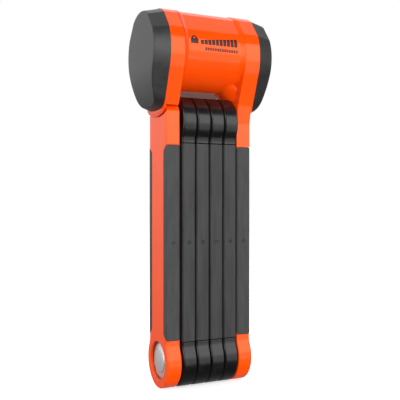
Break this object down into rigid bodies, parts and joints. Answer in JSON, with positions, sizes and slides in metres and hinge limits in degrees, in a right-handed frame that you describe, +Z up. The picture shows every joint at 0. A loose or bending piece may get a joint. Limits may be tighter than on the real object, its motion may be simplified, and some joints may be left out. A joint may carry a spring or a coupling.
{
  "type": "folding bike lock",
  "caption": "Folding bicycle lock of flat jacketed steel links riveted end to end, folded side by side under a cross-wise cylindrical lock head with end caps.",
  "frame": {"origin": "middle of the folded lock's underside, level with the lowest point of the round link ends", "axes": "+Z up along the folded links, X across the stack and along the lock cylinder with the keyhole at +X, -Y the front with the closed wall of the tongue slot"},
  "size_m": [0.0776, 0.0482, 0.2229],
  "materials": {
    "orange_plastic": "semi-gloss moulded",
    "jacket_black": "fine matt texture",
    "cover_black": "satin moulded",
    "pad_rubber": "matt rubber",
    "cap_grey": "fine matt texture",
    "bar_steel": "hardened, blackened edges",
    "rivet_steel": "nickel plated",
    "core_steel": "turned",
    "lock_brass": "machined",
    "cover_steel": "polished"
  },
  "bodies": {
    "head": {"head_housing": "orange_plastic", "lock_core": "core_steel", "core_dowels": "core_steel", "link_6_plate": "bar_steel", "link_6_cover": "orange_plastic", "link_6_front_pad": "pad_rubber", "link_6_rear_pad": "pad_rubber", "left_end_cap": "cap_grey", "right_end_cap": "cap_grey", "bolt_receiver": "core_steel", "cylinder_barrel": "lock_brass", "barrel_pin": "core_steel", "retaining_ring": "core_steel", "pivot_rivet_a": "rivet_steel", "pivot_washer_a": "rivet_steel", "cover_screw": "cover_steel"},
    "link_5": {"link_5_plate": "bar_steel", "link_5_sleeve": "jacket_black", "link_5_top_cover": "cover_black", "link_5_bottom_cover": "cover_black", "pivot_rivet_b": "rivet_steel", "pivot_washer_b": "rivet_steel"},
    "link_4": {"link_4_plate": "bar_steel", "link_4_sleeve": "jacket_black", "link_4_top_cover": "cover_black", "link_4_bottom_cover": "cover_black", "pivot_rivet_c": "rivet_steel", "pivot_washer_c": "rivet_steel"},
    "link_3": {"link_3_plate": "bar_steel", "link_3_sleeve": "jacket_black", "link_3_top_cover": "cover_black", "link_3_bottom_cover": "cover_black", "pivot_rivet_d": "rivet_steel", "pivot_washer_d": "rivet_steel"},
    "link_2": {"link_2_plate": "bar_steel", "link_2_sleeve": "jacket_black", "link_2_top_cover": "cover_black", "link_2_bottom_cover": "cover_black", "pivot_rivet_e": "rivet_steel", "pivot_washer_e": "rivet_steel"},
    "link_1": {"link_1_plate": "bar_steel", "link_1_cover": "orange_plastic", "link_1_front_pad": "pad_rubber", "link_1_rear_pad": "pad_rubber"},
    "key_plug": {"key_plug": "lock_brass", "plug_face": "cover_steel", "detainer_discs": "lock_brass", "spacer_discs": "lock_brass", "sidebar": "lock_brass", "bolt_cam": "lock_brass"},
    "cross_bolt": {"cross_bolt": "core_steel", "bolt_pin": "core_steel"},
    "keyhole_cover": {"keyhole_cover": "cover_steel"}
  },
  "joints": [
    {"name": "pivot_a", "type": "hinge", "parent": "head", "child": "link_5", "pos_m": [0.0132, 0, 0.0161], "axis": [-1, 0, 0], "range_deg": [0, 180]},
    {"name": "pivot_b", "type": "hinge", "parent": "link_5", "child": "link_4", "pos_m": [0.00425, 0, 0.1561], "axis": [-1, 0, 0], "range_deg": [0, 72]},
    {"name": "pivot_c", "type": "hinge", "parent": "link_4", "child": "link_3", "pos_m": [-0.0047, 0, 0.0161], "axis": [-1, 0, 0], "range_deg": [0, 180]},
    {"name": "pivot_d", "type": "hinge", "parent": "link_3", "child": "link_2", "pos_m": [-0.01365, 0, 0.1561], "axis": [-1, 0, 0], "range_deg": [0, 72]},
    {"name": "pivot_e", "type": "hinge", "parent": "link_2", "child": "link_1", "pos_m": [-0.02365, 0, 0.0161], "axis": [-1, 0, 0], "range_deg": [0, 180]},
    {"name": "key_turn", "type": "hinge", "parent": "head", "child": "key_plug", "pos_m": [0.01795, 0, 0.1986], "axis": [-1, 0, 0], "range_deg": [0, 90]},
    {"name": "bolt_slide", "type": "slide", "parent": "head", "child": "cross_bolt", "axis": [-1, 0, 0], "range_m": [0, 0.0095]},
    {"name": "cover_swing", "type": "hinge", "parent": "head", "child": "keyhole_cover", "pos_m": [0.03815, 0, 0.2126], "axis": [1, 0, 0], "range_deg": [0, 100]}
  ],
  "couplings": [
    {"joint": "key_turn", "follows": "bolt_slide", "rad_per_m": 165.35}
  ]
}
